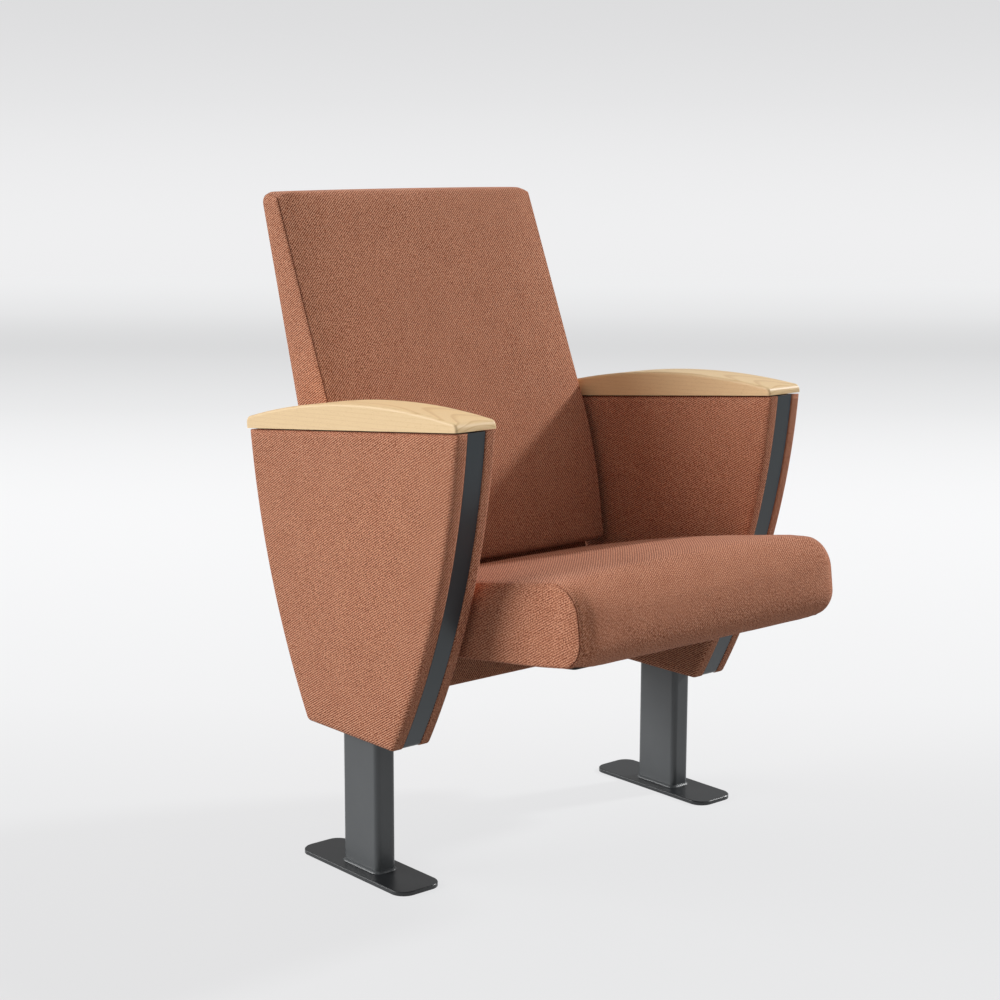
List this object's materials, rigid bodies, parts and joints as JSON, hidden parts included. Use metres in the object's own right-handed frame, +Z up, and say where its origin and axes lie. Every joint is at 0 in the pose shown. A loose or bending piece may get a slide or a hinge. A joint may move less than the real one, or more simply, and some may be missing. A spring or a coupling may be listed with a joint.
{
  "type": "tip up auditorium seat",
  "caption": "Upholstered auditorium seat that tips up between padded side panels, with arched wooden arm caps, a raked back and steel pedestals with floor plates.",
  "frame": {"origin": "on the floor, under the middle of the seat's overall width and depth", "axes": "+X to the sitter's left, across the seat; -Y the way the sitter faces, so +Y to the rear; +Z up"},
  "size_m": [0.654, 0.7028, 0.933],
  "materials": {
    "upholstery": "heathered brick-rose twill",
    "underside_cloth": "black non-woven lining",
    "beech": "pale beech, satin lacquer",
    "plywood": "raw plywood",
    "leg_paint": "charcoal satin powder coat",
    "plate_black": "black satin powder coat",
    "zinc": "zinc plated",
    "spring_steel": "oiled spring wire",
    "nylon": "natural nylon",
    "buffer_rubber": "black rubber"
  },
  "bodies": {
    "base": {"left_floor_plate": "plate_black", "left_leg_tube": "leg_paint", "left_front_strip": "leg_paint", "left_rear_strip": "leg_paint", "left_stay_bars": "leg_paint", "left_arm_bearer": "leg_paint", "left_arm_cap": "beech", "left_arm_cap_screws": "zinc", "left_inner_board": "plywood", "left_inner_pad": "upholstery", "left_outer_board": "plywood", "left_outer_pad": "upholstery", "left_hinge_bracket": "plate_black", "left_hinge_bracket_screws": "zinc", "left_pivot_pin": "zinc", "left_retaining_ring": "zinc", "left_stop_buffer": "buffer_rubber", "left_back_angle": "leg_paint", "left_back_plate": "leg_paint", "left_back_spacers": "leg_paint", "left_back_bolts": "zinc", "right_floor_plate": "plate_black", "right_leg_tube": "leg_paint", "right_front_strip": "leg_paint", "right_rear_strip": "leg_paint", "right_stay_bars": "leg_paint", "right_arm_bearer": "leg_paint", "right_arm_cap": "beech", "right_arm_cap_screws": "zinc", "right_inner_board": "plywood", "right_inner_pad": "upholstery", "right_outer_board": "plywood", "right_outer_pad": "upholstery", "right_hinge_bracket": "plate_black", "right_hinge_bracket_screws": "zinc", "right_pivot_pin": "zinc", "right_retaining_ring": "zinc", "right_stop_buffer": "buffer_rubber", "right_back_angle": "leg_paint", "right_back_plate": "leg_paint", "right_back_spacers": "leg_paint", "right_back_bolts": "zinc", "back_board": "plywood", "back_cushion": "upholstery", "back_rear_panel": "upholstery", "back_lower_pad": "upholstery"},
    "seat": {"seat_cushion": "upholstery", "seat_board": "plywood", "seat_underside_cover": "underside_cloth", "seat_rear_cross_tube": "plate_black", "seat_front_cross_tube": "plate_black", "seat_screws": "zinc", "left_seat_arm": "plate_black", "left_hinge_bush": "nylon", "left_return_spring": "spring_steel", "right_seat_arm": "plate_black", "right_hinge_bush": "nylon", "right_return_spring": "spring_steel"}
  },
  "joints": [
    {"name": "seat_tip", "type": "hinge", "parent": "base", "child": "seat", "pos_m": [0, 0.055, 0.345], "axis": [-1, 0, 0], "range_deg": [0, 75]}
  ]
}
